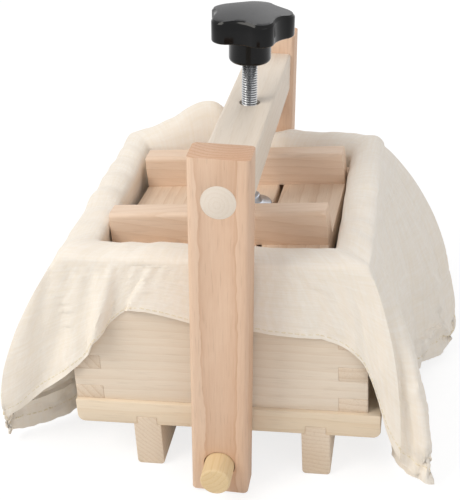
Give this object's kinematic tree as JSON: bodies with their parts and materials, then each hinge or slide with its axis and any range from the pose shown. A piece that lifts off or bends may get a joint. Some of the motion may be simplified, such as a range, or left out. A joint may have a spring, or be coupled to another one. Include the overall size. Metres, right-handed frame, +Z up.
{
  "type": "tofu press",
  "caption": "Wooden tofu press with a finger-jointed box, cheesecloth lining, timber frame and a star-knob screw driving a slatted plate.",
  "frame": {"origin": "on the floor under the middle of the box", "axes": "+X to the right seen from the front, +Y to the back, +Z up; the frame's uprights stand at the front and the back"},
  "size_m": [0.2422, 0.2146, 0.2234],
  "materials": {
    "box_wood": "planed, unfinished",
    "base_wood": "planed, unfinished",
    "runner_wood": "planed, unfinished",
    "upright_wood": "planed, unfinished",
    "beam_wood": "planed, unfinished",
    "tenon_wood": "planed, unfinished",
    "dowel_wood": "planed, unfinished",
    "board_wood": "planed, unfinished",
    "batten_wood": "planed, unfinished",
    "cotton": "loose plain weave, undyed",
    "zinc_steel": "bright zinc plate",
    "foot_steel": "satin",
    "knob_plastic": "gloss, moulded"
  },
  "bodies": {
    "base": {"base_board": "base_wood", "left_runner": "runner_wood", "right_runner": "runner_wood"},
    "box": {"front_wall": "box_wood", "back_wall": "box_wood", "left_wall": "box_wood", "right_wall": "box_wood", "cheesecloth": "cotton"},
    "yoke": {"front_upright": "upright_wood", "back_upright": "upright_wood", "cross_beam": "beam_wood", "front_tenon": "tenon_wood", "back_tenon": "tenon_wood", "threaded_insert": "zinc_steel"},
    "foot": {"swivel_foot": "foot_steel"},
    "screw": {"threaded_rod": "zinc_steel", "star_knob": "knob_plastic"},
    "plate": {"left_board": "board_wood", "centre_board": "board_wood", "right_board": "board_wood", "front_batten": "batten_wood", "back_batten": "batten_wood", "batten_screws": "zinc_steel"},
    "dowel": {"lock_dowel": "dowel_wood"}
  },
  "joints": [
    {"name": "yoke_swing", "type": "hinge", "parent": "base", "child": "yoke", "pos_m": [0.0024, 0, 0.0178], "axis": [0, 1, 0], "range_deg": [-3, 0]},
    {"name": "screw_travel", "type": "slide", "parent": "yoke", "child": "foot", "axis": [-0.0523, 0, -0.9986], "range_m": [-0.015, 0.018]},
    {"name": "screw_turn", "type": "hinge", "parent": "foot", "child": "screw", "pos_m": [0.0024, 0, 0.0178], "axis": [-0.0523, 0, -0.9986], "range_deg": [-4321, 5185]},
    {"name": "plate_travel", "type": "slide", "parent": "base", "child": "plate", "axis": [0, 0, -1], "range_m": [-0.0151, 0.0181]},
    {"name": "dowel_pull", "type": "slide", "parent": "base", "child": "dowel", "axis": [0, -1, 0], "range_m": [0, 0.205]},
    {"name": "box_lift", "type": "slide", "parent": "base", "child": "box", "axis": [0, 0, 1], "range_m": [0, 0.014]}
  ],
  "couplings": [
    {"joint": "screw_turn", "follows": "screw_travel", "rad_per_m": 5026.5},
    {"joint": "plate_travel", "follows": "screw_travel", "ratio": 1}
  ]
}
